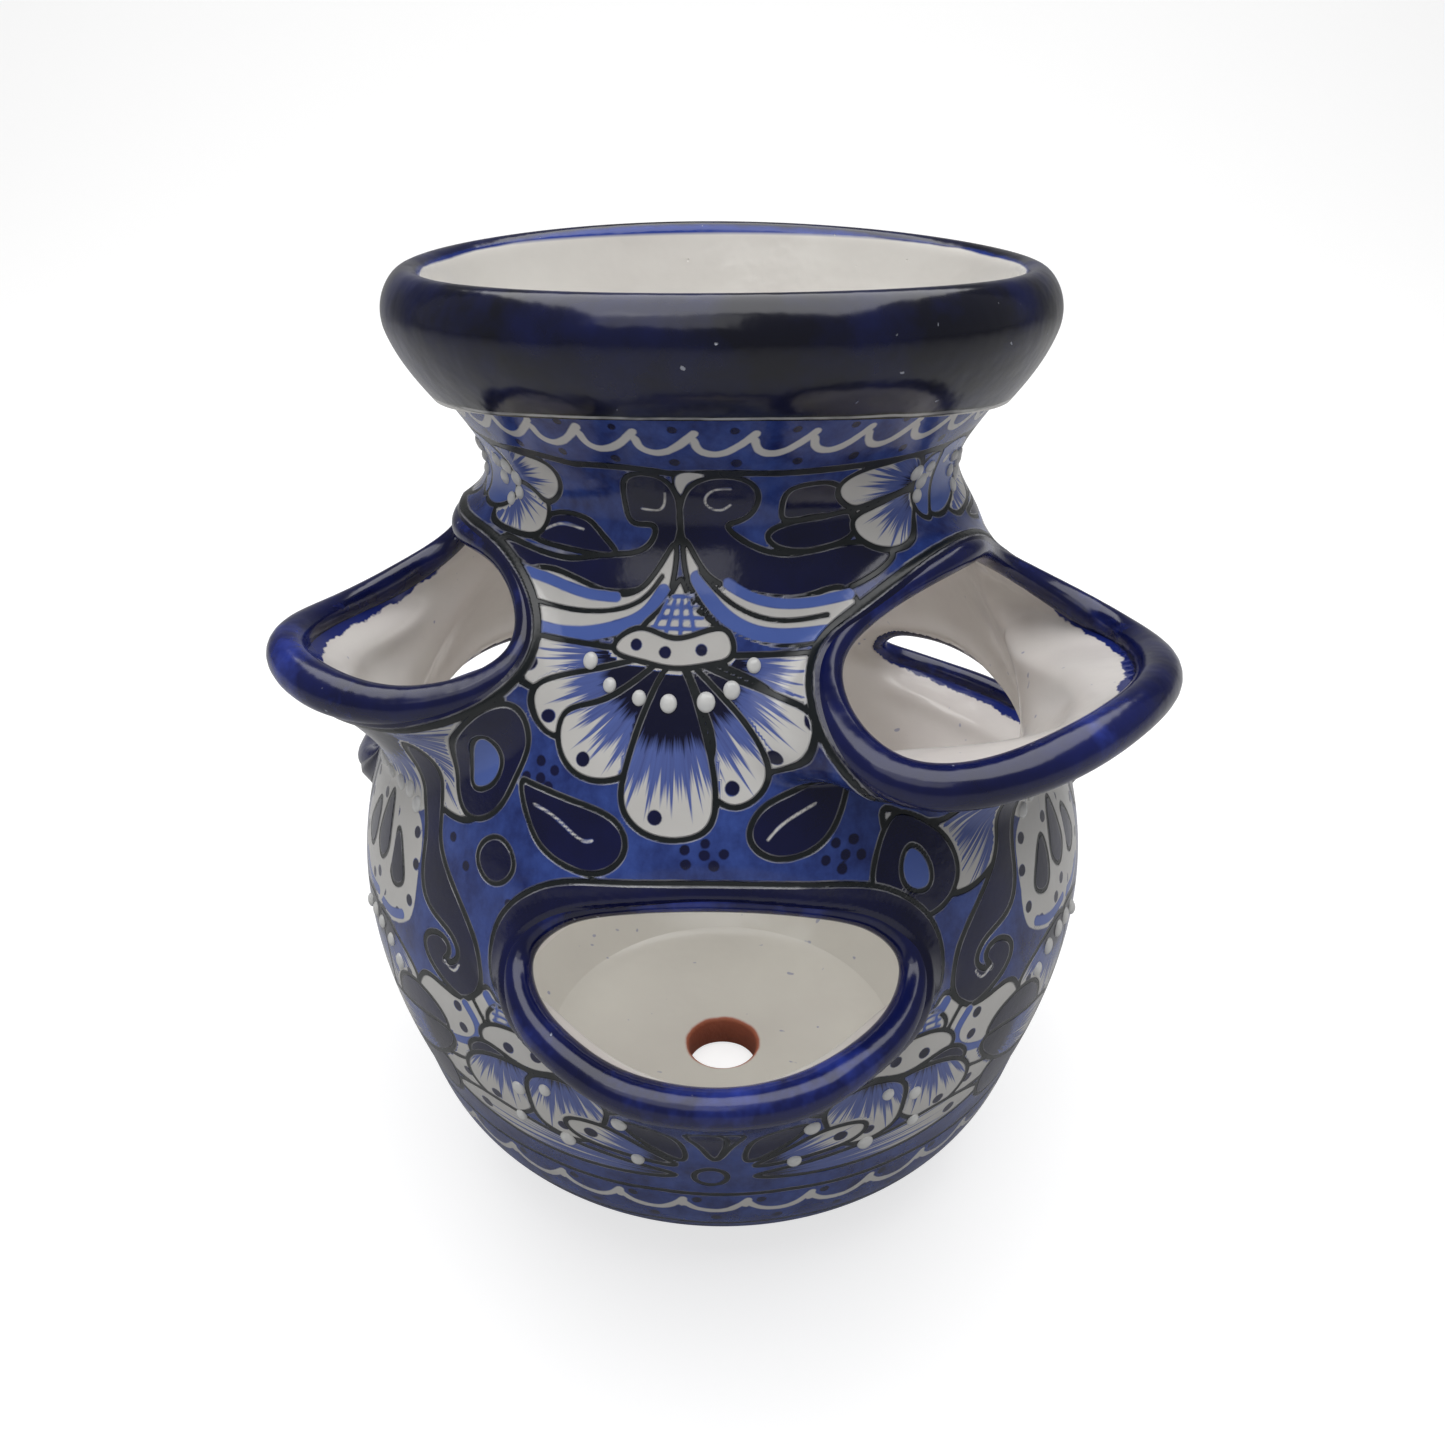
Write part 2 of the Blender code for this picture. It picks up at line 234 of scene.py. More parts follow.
class Glaze:
    """A value in a glaze's node tree.  Arithmetic on it adds Math nodes."""

    def __init__(self, tree, socket=None):
        self.tree, self.socket = tree, socket

    def node(self, kind, settings=None, values=None, out=0):
        made = self.tree.nodes.new(kind)
        for name, value in (settings or {}).items():
            setattr(made, name, value)
        for name, value in (values or {}).items():
            if isinstance(value, Glaze):
                self.tree.links.new(value.socket, made.inputs[name])
            else:
                made.inputs[name].default_value = value
        return Glaze(self.tree, made.outputs[out])

    def math(self, operation, *values):
        return self.node("ShaderNodeMath", {"operation": operation}, dict(enumerate(values)))

    def __add__(self, other):
        return self.math("ADD", self, other)

    def __sub__(self, other):
        return self.math("SUBTRACT", self, other)

    def __rsub__(self, other):
        return self.math("SUBTRACT", other, self)

    def __mul__(self, other):
        return self.math("MULTIPLY", self, other)

    def __truediv__(self, other):
        return self.math("DIVIDE", self, other)

    __radd__, __rmul__ = __add__, __mul__

    def limited(self):
        """Kept between 0 and 1."""
        return self.node("ShaderNodeMath", {"operation": "ADD", "use_clamp": True}, {0: self, 1: 0.0})

    def below(self, edge, soft):
        """1 where the value is under the edge, with a soft step."""
        return ((edge - self) / soft + 0.5).limited()

    def blend(self, base, top):
        """Two colours mixed by this value."""
        return self.node("ShaderNodeMix", {"data_type": "RGBA"}, {0: self, 6: base, 7: top}, out=2)

    def noise(self, vector, scale, detail=3.0, rough=0.55):
        values = {"Vector": vector, "Scale": scale, "Detail": detail, "Roughness": rough}
        return self.node("ShaderNodeTexNoise", {}, values)

    def attribute(self, name):
        return self.node("ShaderNodeAttribute", {"attribute_name": name}, out=2)

    def joined(self, x, y, z):
        return self.node("ShaderNodeCombineXYZ", {}, {0: x, 1: y, 2: z})

    def height(self):
        return self.node("ShaderNodeSeparateXYZ", {}, {0: self}, out=2)

    def from_axis(self):
        """A place's distance from the pot's axis."""
        flat = self.node("ShaderNodeVectorMath", {"operation": "MULTIPLY"}, {0: self, 1: (1, 1, 0)})
        return self.node("ShaderNodeVectorMath", {"operation": "LENGTH"}, {0: flat}, out=1)


def new_glaze(name):
    """An empty material: its tree, its shader node, and a place to start expressions from."""
    made = bpy.data.materials.new(name)
    made.use_nodes = True
    shader = made.node_tree.nodes["Principled BSDF"]
    return made, shader, Glaze(made.node_tree)


def finish_glaze(tree, shader, colour, roughness, height, depth):
    """Wires a glaze's colour, roughness and relief to its shader."""
    shader.inputs["IOR"].default_value = 1.52
    tree.tree.links.new(colour.socket, shader.inputs["Base Color"])
    tree.tree.links.new(roughness.socket, shader.inputs["Roughness"])
    bump = tree.node("ShaderNodeBump", {}, {"Strength": 1.0, "Distance": depth, "Height": height})
    tree.tree.links.new(bump.socket, shader.inputs["Normal"])


# Cobalt from thick to thin, the white under it, and the black of an incised line
NAVY = (0.0020, 0.0028, 0.024, 1)
COBALT = (0.016, 0.034, 0.20, 1)
COBALT_DEEP = (0.005, 0.010, 0.085, 1)
COBALT_BRIGHT = (0.055, 0.110, 0.42, 1)
WHITE = (0.60, 0.585, 0.56, 1)
BLACK = (0.005, 0.008, 0.010, 1)
SPECK = (0.14, 0.17, 0.36, 1)


def painted_glaze():
    """Cobalt ground, white reserves with brush strokes, navy fills and incised black lines."""
    made, shader, g = new_glaze("painted_glaze")
    place = g.node("ShaderNodeTexCoord", {}, out=3)
    line, white, navy, light = (g.attribute(n) for n in ("line", "white", "navy", "light"))
    tip, fan = g.attribute("tip"), g.attribute("fan")
    wobble = (g.noise(place, 240.0, 2.0) - 0.5) * 0.6
    wash = g.noise(place, 38.0, 4.0, 0.6)
    brush = g.noise(g.node("ShaderNodeMapping", {}, {"Vector": place, "Scale": (1, 1, 0.16)}), 330.0, 3.0)
    water = g.noise(place, 120.0, 5.0, 0.65)
    ground = ((wash * 1.3 + brush * 0.5 + water * 1.5) - 1.22).limited().blend(COBALT_DEEP, COBALT_BRIGHT)
    ground = (wash * 0.25).blend(ground, COBALT)
    clay = (g.noise(place, 60.0) * 1.4 - 0.4).limited().blend(WHITE, (0.68, 0.67, 0.65, 1))
    streak = g.noise(g.joined(fan, 0.0, 0.0), 1.0, 2.0, 0.7)
    fine = g.noise(g.joined(fan * 2.7, tip * 1.2, 0.0), 1.0, 2.0, 0.6)
    stroke = (tip - streak * 1.25).below(0.12, 0.09)
    dense = (tip - streak * 0.34).below(0.33, 0.08)
    blue = (fine * 1.3).limited().blend(COBALT, COBALT_BRIGHT)
    reserve = (stroke * 0.92).blend(clay, blue)
    reserve = dense.blend(reserve, NAVY)
    colour = (white + wobble).below(0.0, 0.35).blend(ground, reserve)
    pale = (wash * 0.6 + 0.2).blend((0.05, 0.10, 0.40, 1), (0.12, 0.19, 0.52, 1))
    colour = (light + wobble).below(0.0, 0.5).blend(colour, pale)
    deep = (wash * 1.3 - 0.45).limited().blend(NAVY, (0.006, 0.010, 0.10, 1))
    colour = (navy + wobble * 1.3).below(0.0, 0.35).blend(colour, deep)
    # Pale grey painted along both sides of every incised line: a painted highlight, where the groove's edges
    # would catch the light
    edge = (line + wobble * 0.3).below(0.16, 0.16) * (g.noise(place, 130.0, 2.0) * 2.6 - 0.75).limited()
    colour = (edge * 0.8).blend(colour, (0.42, 0.42, 0.44, 1))
    colour = (line + wobble * 0.4).below(-0.08, 0.18).blend(colour, BLACK)
    groove = (line * 2.4 + 0.6).limited()
    ripple = g.noise(place, 70.0, 3.0)
    relief = groove * 0.5 + ripple * 0.25 + g.noise(place, 900.0, 1.0) * 0.02
    roughness = g.noise(place, 25.0) * 0.08 + (1 - groove) * 0.12 + 0.12
    finish_glaze(g, shader, colour, roughness, relief, 0.0010)
    return made


def inner_glaze():
    """White tin glaze inside, with the rim's cobalt running a little way in by an uneven edge."""
    made, shader, g = new_glaze("inner_glaze")
    place = g.node("ShaderNodeTexCoord", {}, out=3)
    rim = g.attribute("rim")
    wash = g.noise(place, 22.0, 4.0)
    clay = (wash * 1.5 - 0.25).limited().blend((0.66, 0.61, 0.59, 1), (0.76, 0.74, 0.70, 1))
    specks = g.noise(place, 260.0, 1.0).below(0.235, 0.03)
    clay = (specks * 0.55).blend(clay, SPECK)
    ragged = g.noise(place, 130.0, 3.0, 0.7) * 5.0
    colour = (rim + ragged).below(5.5, 0.5).blend(clay, (0.012, 0.022, 0.16, 1))
    roughness = wash * 0.10 + 0.10
    relief = g.noise(place, 45.0, 3.0) * 0.6 + g.noise(place, 700.0, 1.0) * 0.02
    finish_glaze(g, shader, colour, roughness, relief, 0.0008)
    return made


class Sheet:
    """The wall's outside unrolled, in degrees and millimetres, as the painter sees it.

    The front's design comes three times round the pot.  Each colour is a field of distances in
    millimetres, under 0 where the colour lies; a later shape cuts the earlier ones away."""

    start = -69.5

    def __init__(self):
        self.azimuth = (np.degrees(A) - self.start) % 120 + self.start
        self.height = Z * 1000
        self.field = {name: np.full(A.shape, 9.0) for name in ("white", "navy", "light", "line")}
        self.tip, self.fan = np.ones(A.shape), np.zeros(A.shape)

    def scale(self, height):
        """Millimetres of surface for a degree round the pot and for a millimetre of height."""
        slope = float(wall_radius(height / 1000 + 0.001) - wall_radius(height / 1000 - 0.001)) / 0.002
        return float(wall_radius(height / 1000)) * 1000 * math.pi / 180, math.hypot(1, slope)

    def distance(self, points, closed, margin=9.0):
        """Distance from a drawn line to the sheet's points near it, negative inside a closed one."""
        points = np.array(points, float)
        line = smooth_curve(points, max(24, 9 * len(points)), closed) if len(points) > 2 else points
        across, up = self.scale(line[:, 1].mean())
        line = line * (across, up)
        middle = line[:, 0].mean() / across
        u, v = ((self.azimuth - middle + 60) % 120 - 60 + middle) * across, self.height * up
        low, high = line.min(0) - margin, line.max(0) + margin
        near = (u > low[0]) & (u < high[0]) & (v > low[1]) & (v < high[1])
        at = np.column_stack([u[near], v[near]])
        ends = np.roll(line, -1, 0) if closed else line[1:]
        starts = line if closed else line[:-1]
        best, crossed = np.full(len(at), 1e9), np.zeros(len(at), bool)
        for p, q in zip(starts, ends):
            d = q - p
            t = np.clip(((at - p) @ d) / max(d @ d, 1e-12), 0, 1)
            best = np.minimum(best, np.hypot(*(at - p - t[:, None] * d).T))
            if closed and p[1] != q[1]:
                spans = (p[1] > at[:, 1]) != (q[1] > at[:, 1])
                crossed ^= spans & (at[:, 0] < p[0] + (at[:, 1] - p[1]) / d[1] * d[0])
        return near, np.where(crossed, -best, best) if closed else best

    def fill(self, points, colour, outline=1.35, centre=None, core=0.0):
        """Paints a closed shape, with strokes that fan from a centre, if given, toward its far edge.

        The core is how far out the strokes already are at the centre: 0 gives a solid navy heart.
        The colour "ground" has no field, so it only cuts the others away."""
        near, gap = self.distance(points, True)
        for name, field in self.field.items():
            field[near] = np.minimum(field[near], gap) if name == colour else np.maximum(field[near], -gap)
        inner = near.copy()
        inner[near] = gap < 1.2
        self.tip[inner] = 1.0
        if centre:
            across, up = self.scale(centre[1])
            u = ((self.azimuth[inner] - centre[0] + 60) % 120 - 60) * across
            v = (self.height[inner] - centre[1]) * up
            far = np.array(points, float) - centre
            reach = np.hypot(far[:, 0] * across, far[:, 1] * up).max()
            self.tip[inner] = core + (1 - core) * np.hypot(u, v) / reach
            self.fan[inner] = np.arctan2(v, u) * reach * 0.45
        if outline:
            line = self.field["line"]
            line[near] = np.minimum(line[near], np.abs(gap) - outline / 2)

    def stroke(self, points, width=1.4, colour="line"):
        """Paints an open line; one in a colour also covers what lies under it."""
        near, gap = self.distance(points, False)
        if colour != "line":
            for name, field in self.field.items():
                if name != colour:
                    field[near] = np.maximum(field[near], width / 2 - gap)
        self.field[colour][near] = np.minimum(self.field[colour][near], gap - width / 2)

    def dot(self, azimuth, height, radius, colour="navy"):
        across, up = self.scale(height)
        turn = (self.azimuth - azimuth + 60) % 120 - 60
        gap = np.hypot(turn * across, (self.height - height) * up) - radius
        near = gap < 6
        for name, field in self.field.items():
            if name == colour:
                field[near] = np.minimum(field[near], gap[near])
            elif name != "line":
                field[near] = np.maximum(field[near], -gap[near])


sheet = Sheet()


def dots(places, radius=1.2, colour="navy"):
    for azimuth, height in places:
        sheet.dot(azimuth, height, radius, colour)


# Neck band: a breaking wave between two incised lines, dots above and below it
for k in range(12):
    at = k * 10 - 64.6
    sheet.stroke([(at - 10, 222.2), (at - 9.2, 219.8), (at - 6.5, 218.8), (at - 2.5, 221.2), (at, 224.2)],
                 1.9, "white")
dots([(k * 120 / 11 - 63, 216.4) for k in range(11)])
dots([(k * 10 - 68.0, 225.0) for k in range(12)], 1.1)
for k in range(6):
    at = k * 20 - 69.5
    sheet.stroke([(at, 213.2), (at + 10, 213.6 + 0.5 * math.sin(k)), (at + 20, 213.2)], 2.0)

# Neck panel: a pair of volutes over crescents, dark leaves between them, half flowers at the sides
sheet.fill([(-15, 195), (-22.5, 192.3), (-29.6, 190.5), (-39.2, 190), (-50.8, 190), (-39.2, 185.6),
            (-23.3, 184.8), (-15, 186.4), (-9.4, 195), (-8.9, 206), (-12, 212), (-18, 211.8),
            (-20.2, 205.5), (-18.4, 199.5), (-14.2, 199.2)], "navy")
sheet.stroke([(-16.6, 203.2), (-12.6, 203.4), (-11.4, 207.6)], 0.7, "white")
sheet.fill([(1.2, 200), (5.8, 195.6), (15, 193.4), (28.3, 194), (36, 190.9), (23.3, 185), (15, 184.3),
            (3.3, 186.4), (-3.3, 190), (-8.2, 197.3), (-8.4, 205), (-5, 211), (1.5, 212.6), (6.3, 209.5),
            (6.8, 204.5), (3.6, 201)], "navy")
sheet.stroke([(1.6, 209.2), (-2, 208.6), (-3.4, 205.4), (-0.6, 203.6), (1.6, 205)], 0.7, "white")
sheet.stroke([(-9, 212), (-8.8, 205), (-8.4, 196)], 1.4)
sheet.fill([(-8.4, 212.8), (-3.2, 212.9), (-6.4, 210.8), (-8.2, 207.5)], "white", 0)
for leaf in (
    [(-45, 193.6), (-41, 197.2), (-36, 199.2), (-29.2, 198.8), (-25, 195.8), (-21.7, 192.8), (-30, 191.8)],
    [(12.1, 204), (13.3, 208.2), (18, 209.6), (23.3, 208.4), (28.5, 200.8), (20, 200.9), (12.5, 201)],
    [(9.2, 197.5), (15, 200.2), (22, 200.7), (28.3, 200.4), (28.3, 196.6), (23.3, 194.2), (10.8, 195)],
):
    sheet.fill(leaf, "navy", 1.3)
sheet.stroke([(-40, 194.6), (-36, 196.6), (-30, 196.4)], 0.7, "white")
for petal in ([(28, 200), (34, 199.4), (44.2, 201.5), (44.2, 206), (38, 204), (30, 202)],
              [(28.3, 198.6), (28.6, 195.5), (35.8, 191), (44, 194), (46, 202), (36, 201.5)],
              [(23.8, 207), (26.7, 210.9), (35, 212.6), (43.3, 212), (46, 205.5), (34, 202.3), (28, 201.8)]):
    sheet.fill(petal, "white", 1.5, (49, 203.5), 0.30)
for petal in ([(-60, 203), (-47, 203.5), (-40.8, 200.8), (-41, 194), (-50, 191.8), (-60, 194)],
              [(-60, 204), (-47, 203.5), (-40.8, 200.8), (-36, 205), (-36.3, 211), (-45, 213), (-60, 210)]):
    sheet.fill(petal, "white", 1.5, (-57, 203.5), 0.30)
sheet.fill([(-69.5, 212), (-56, 212), (-52, 206), (-53, 199), (-69.5, 196)], "light", 1.3)
sheet.fill([(50.5, 212), (47, 211), (45.5, 205), (47, 197), (50.5, 195)], "light", 1.3)
for side in (-1, 1):
    dots([(-9.5 + side * (59 - k * 4.5) + 0.5, 205.5 + 3 * math.sin(k)) for k in range(3)], 1.3, "white")

# White leaves under the crescents, edged with light strokes
sheet.fill([(-9.6, 195.5), (-15, 186.6), (-23.3, 185), (-39.2, 186.2), (-44, 178), (-35, 172.3),
            (-20.8, 175.5), (-13.3, 179), (-9.6, 186.4)], "white")
sheet.stroke([(-38, 174.8), (-28, 174.9), (-20, 177.3), (-14, 181), (-11, 186)], 3.4, "light")
sheet.stroke([(-42, 185.4), (-34, 184.8), (-26, 183.8), (-20, 184)], 2.4, "light")
sheet.stroke([(-36, 179.8), (-25, 180.2), (-15.4, 183.6), (-11.5, 189)], 1.2)
sheet.fill([(-7.6, 196.4), (-3.3, 190.2), (3.3, 186.6), (15, 184.6), (23.3, 185.2), (25, 180), (19.2, 175.5),
            (6.7, 176.4), (-1.7, 181.8), (-7, 190)], "white")
sheet.stroke([(22, 177.0), (13, 176.9), (5.4, 178.2), (-0.6, 182.6), (-4.8, 189)], 3.4, "light")
sheet.stroke([(24, 184), (14, 183.4), (6, 185), (1, 188)], 2.4, "light")
sheet.stroke([(19, 180.4), (9.2, 180.4), (1.5, 184.2), (-4.2, 190.4)], 1.2)
sheet.fill([(-7.9, 188.6), (-10.6, 183.4), (-14.2, 178), (-7.9, 176.4), (-0.6, 178.8), (-5.2, 183.6)],
           "white", 1.3)
for k in range(4):
    sheet.stroke([(-12.6 + k * 2.6, 177.4), (-10 + k * 1.3, 184.4)], 0.8, "light")
    sheet.stroke([(-12.8 + k * 1.2, 178.6 + k * 2.2), (-2.6 - k * 0.9, 178.9 + k * 2.2)], 0.8, "light")

# The fan flower, its navy heart running out in strokes to white tips
heart = (-8, 174)
for petal in (
    [(-14, 173), (-28, 173.5), (-35.5, 172.2), (-36, 169), (-31, 163.6), (-22, 168)],
    [(-2, 173), (10, 173.5), (16, 172.2), (16.4, 166), (14.2, 161.6), (6, 168)],
    [(-12, 172), (-24, 168), (-31, 164), (-31, 159.4), (-28.3, 154.5), (-24.5, 154.6), (-18, 162)],
    [(-5, 172), (6, 167), (13, 163.4), (12, 158), (9.6, 153.6), (6, 150.7), (2, 158)],
    [(-10, 172), (-19, 163.5), (-25.5, 159.5), (-25.6, 152), (-21, 147.2), (-15.2, 148.4), (-11.6, 160)],
    [(-6, 172), (-1.5, 157), (-2, 147.5), (1.7, 143.8), (6, 147.3), (6.6, 152.4), (2.5, 162)],
    [(-8, 172), (-12.4, 162), (-14.4, 151), (-14.2, 142), (-9.6, 137.2), (-2.8, 138.6), (-1.0, 146),
     (-2.6, 158)],
):
    sheet.fill(petal, "white", 1.4, heart)
sheet.fill([(-19, 173.6), (-13.6, 171.6), (-8, 170.8), (-2, 171.8), (1.6, 173.6), (0.4, 178.8), (-7.9, 176.8),
            (-15, 178.2)], "white", 1.3)
dots([(-15, 174.9), (-9.8, 173.9), (-3.6, 174.7)], 1.3)
dots([(-32.9, 168), (-28.4, 158), (-21.4, 150.8), (-9.6, 141.2), (1.4, 147.6), (7.5, 154.6), (13.1, 162.6)],
     1.6)

# Below the flower: clusters of dots, teardrop leaves with a light vein
dots([(-28.3, 148.6), (-25.7, 147.3), (-30.4, 144.5), (-27.9, 145), (-26.4, 143.6)])
dots([(-5.2, 135.2), (-2.4, 136.6), (0.2, 134.5), (-2.5, 134.2), (-5, 132.2), (-1.2, 132.0)])
dots([(15.8, 135), (18.5, 135.2), (14.2, 131.8), (17.1, 132.3), (19.4, 131.8), (16.4, 129.6)])
dots([(-42.1, 125.5), (-30, 117), (-38.5, 121)])
sheet.fill([(-30.8, 143.6), (-30.3, 143.6), (-22.5, 142.2), (-15.4, 139.6), (-13.6, 133.6), (-17.5, 128.2),
            (-24.2, 129.6), (-28.5, 135)], "navy")
sheet.stroke([(-28.3, 139.4), (-24, 137.6), (-19.4, 134.4), (-18.4, 134.8)], 0.75, "white")
sheet.fill([(3.8, 137.4), (5.8, 143.6), (10.8, 146.8), (18.3, 150.2), (18.6, 149.8), (16.9, 140.9),
            (12.5, 134.2), (7, 133.2)], "navy")
sheet.stroke([(6.2, 137), (8.4, 140), (13.4, 143.6)], 0.75, "white")
sheet.fill([(-36.6, 125), (-33.3, 130), (-30, 125), (-33.3, 120)], "navy", 1.2)

# Under each upper pocket: white leaves whose strokes come from the axis, a navy almond at each side
sheet.fill([(-35.8, 161), (-46, 155), (-56, 149), (-56, 136.4), (-46, 130), (-39.2, 131), (-36, 140),
            (-33.5, 150)], "white", 1.6, (-62, 150), 0.25)
sheet.fill([(-34.2, 160), (-31.2, 152.7), (-32.2, 143.6), (-35.8, 133.6), (-40, 131.6), (-44.2, 140.9),
            (-41, 152.7), (-37, 159.1)], "navy")
sheet.fill([(-38, 151.5), (-35.6, 147), (-37, 139.5), (-39.6, 138), (-41, 143)], "light", 1.2)
sheet.fill([(24, 140), (33, 134), (45, 146), (47, 132), (40, 119), (31, 119)], "white", 1.6, (52, 140), 0.25)
sheet.fill([(25.8, 138.4), (29.5, 136), (33.4, 130), (33.4, 119), (27, 115), (21.2, 121), (21.6, 131)],
           "navy")
sheet.fill([(27, 131), (29.6, 127), (28.6, 121), (25.6, 123)], "light", 1.2)

# The S-scrolls that carry the upper pockets, and the panels between them, mirrored about each axis
PANEL_AXIS, FRONT_AXIS = -61.0, -1.0
axis = PANEL_AXIS


def pair(draw):
    """Draws a thing at both sides of the pocket's axis: the angle it is given grows away from it."""
    for side in (1, -1):
        draw(lambda turn, height: (axis + side * turn, height))


def panel(at):
    """One side of the dotted white panel under a pocket, and the scroll that bounds it."""
    sheet.fill([at(0, 150), at(7, 146), at(12, 136), at(11, 127), at(0, 124)], "white", 0, at(0, 149))
    sheet.fill([at(0, 128), at(6, 127), at(10.6, 124), at(12.6, 111), at(11.6, 100), at(6, 94.6), at(0, 94)],
               "white", 0)
    dots([at(10.4, 121), at(11.6, 114), at(11.2, 104.6), at(8, 98.6), at(2.6, 99.6), at(3, 121)], 1.4)
    sheet.fill([at(5.0, 118), at(8.0, 112), at(8.4, 106.4), at(6, 104.8), at(4, 109)], "navy", 1.2)
    sheet.stroke([at(0, 97), at(5, 96.6), at(9.4, 99.4)], 2.4, "light")
    sheet.fill([at(0, 93), at(8, 92), at(13.5, 86), at(11, 78), at(5, 71), at(0, 69)], "white",
               1.4, at(1, 97), 0.10)
    dots([at(11, 84.6), at(8.4, 76.6), at(3, 72.4)], 1.3)
    sheet.fill([at(9.4, 144), at(14.6, 132), at(16.8, 122), at(21.6, 114), at(25.6, 107), at(27.6, 99),
                at(26.6, 92.6), at(24.4, 89.6), at(20.4, 91.2), at(16.6, 95.6), at(16.4, 100.4),
                at(19.4, 102.6), at(21.4, 100), at(20.4, 96.6), at(22.6, 98.4), at(21.6, 104),
                at(16.4, 107.4), at(13.4, 115), at(12.2, 124), at(8, 138)], "navy", 1.5)
    sheet.stroke([at(20.4, 96.8), at(22.2, 95.6), at(23.4, 98)], 0.75, "white")


pair(panel)
# Between the panel's two drops, a longer one on the axis with a dot below it
sheet.fill([(axis, 124), (axis + 2.2, 115), (axis + 2, 109), (axis, 106.6), (axis - 2, 109),
            (axis - 2.2, 115)], "navy", 1.2)
dots([(axis, 102.4)], 1.4)


def arches(at):
    """One side of the nested arches below the scrolls: dotted white bands with light borders."""
    sheet.fill([at(17, 90), at(24, 89.6), at(29, 96.5), at(32, 90), at(35, 82), at(36, 72), at(31, 62),
                at(20, 60), at(9, 66), at(12, 78)], "white", 1.5)
    sheet.stroke([at(28.6, 94), at(31.6, 87), at(33.6, 78), at(33, 69), at(28, 62.6)], 2.6, "light")
    sheet.stroke([at(26, 91), at(28.4, 84), at(28, 76.4), at(23, 70), at(15, 66.6)], 1.2)
    sheet.stroke([at(24.4, 88.6), at(26.4, 83), at(24.6, 77.6), at(19, 74.4)], 2.2, "light")
    dots([at(22.8, 86.4), at(23.4, 80.6), at(18.4, 78.6)], 1.4)
    dots([at(30.4, 83.6), at(31, 75.6), at(28, 68.4), at(21.6, 64.6)], 1.4)
    sheet.fill([at(7, 79), at(12, 84), at(18, 82), at(19.6, 76), at(15, 71), at(7, 69)], "navy", 1.3)


pair(arches)


def skirt(at):
    """One side of what lies under a lower pocket: lattice, dotted band, petals, eyes and dark leaves."""
    sheet.fill([at(21, 94), at(29, 93), at(31, 86), at(24, 84)], "white", 1.3)
    for k in range(5):
        sheet.stroke([at(22.4 + k * 2.0, 84.6), at(21.6 + k * 2.0, 93)], 0.7, "light")
        sheet.stroke([at(22, 86 + k * 1.8), at(30.5, 86.2 + k * 1.8)], 0.7, "light")
    sheet.fill([at(21, 85), at(31, 86.4), at(33, 80.5), at(27, 77.4), at(19, 80)], "white", 1.3)
    dots([at(24, 82), at(28.4, 81.6)], 1.5)
    sheet.fill([at(12, 78), at(19, 79.6), at(26, 77.4), at(33, 80), at(36, 74), at(26, 71), at(14, 71)],
               "navy", 1.3)
    sheet.fill([at(25, 76), at(31, 77), at(36.6, 72), at(37, 63), at(32, 58.6), at(27, 62), at(25, 69)],
               "white", 1.4, at(29, 86), 0.22)
    sheet.fill([at(16, 76), at(24.4, 76.4), at(26.4, 68), at(24.4, 59), at(19.4, 57.4), at(16, 63)],
               "white", 1.4, at(21, 86), 0.22)
    dots([at(33, 62.6), at(21.6, 61.4)], 1.5)
    sheet.fill([at(4.6, 56.8), at(4.4, 62), at(8, 69), at(12, 69), at(9, 61)], "navy", 1.3)
    sheet.fill([at(0, 57.6), at(2.2, 63), at(3.2, 71), at(0, 72)], "navy", 1.3)
    sheet.fill([at(5.6, 54.6), at(10, 60.4), at(16, 65.6), at(20.6, 64.8), at(20.4, 60.4), at(14, 56.6)],
               "white", 1.4, at(5.6, 54), 0.32)
    dots([at(17.4, 61.8)], 1.7)
    sheet.fill([at(5.8, 50.2), at(14, 54), at(26, 58), at(38, 60), at(43, 56), at(37, 51.6), at(20, 48.4)],
               "white", 1.4, at(2, 50), 0.36)
    dots([at(36.6, 55.4)], 1.7)
    sheet.fill([at(44, 64), at(52, 61), at(58, 56), at(54, 49.6), at(45, 50)], "navy", 1.4)
    sheet.fill([at(40, 76), at(50, 74), at(60, 68), at(60, 60), at(46, 63)], "white", 1.4, at(42, 72), 0.3)


axis = FRONT_AXIS
pair(skirt)
ring = [(axis - 0.7 + 2.4 * math.cos(a), 50 + 3.5 * math.sin(a)) for a in np.radians(np.arange(0, 360, 45))]
sheet.fill(ring, "ground", 1.4)

# Base wave, as on the neck, over a plain cobalt foot
for k in range(12):
    at = k * 10 - 66
    sheet.stroke([(at - 10, 38.6), (at - 8.4, 36.2), (at - 5.4, 35), (at - 2.2, 36.4), (at, 39.8),
                  (at - 0.3, 37.4)], 1.7, "white")
dots([(k * 10 - 64.0, 39.6) for k in range(12)])
dots([(k * 10 - 61.0, 31.4) for k in range(12)])
for k in range(6):
    sheet.stroke([(k * 20 - 69.5, 42.6), (k * 20 - 59.5, 42.2), (k * 20 - 49.5, 42.6)], 1.3)
    sheet.stroke([(k * 20 - 69.5, 28), (k * 20 - 59.5, 27.6), (k * 20 - 49.5, 28)], 1.3)

# The band of navy that frames each opening, closed off by an incised line
frames = []
for node, pocket in pockets.items():
    side = np.sin(np.linspace(0, 2 * math.pi, len(pocket.rim), endpoint=False))
    wider = 0.0012 + 0.0040 * side ** 2 if "lower" in node else 0
    frames.append(pocket.roll + 0.0014 + wider * (1 - pocket.lip))
ring = rim_gap(outside, np.concatenate(frames))
for name, field in sheet.field.items():
    sheet.field[name] = np.minimum(field, ring) if name == "navy" else np.maximum(field, -ring)
sheet.field["line"] = np.minimum(sheet.field["line"], np.abs(ring) - 0.6)


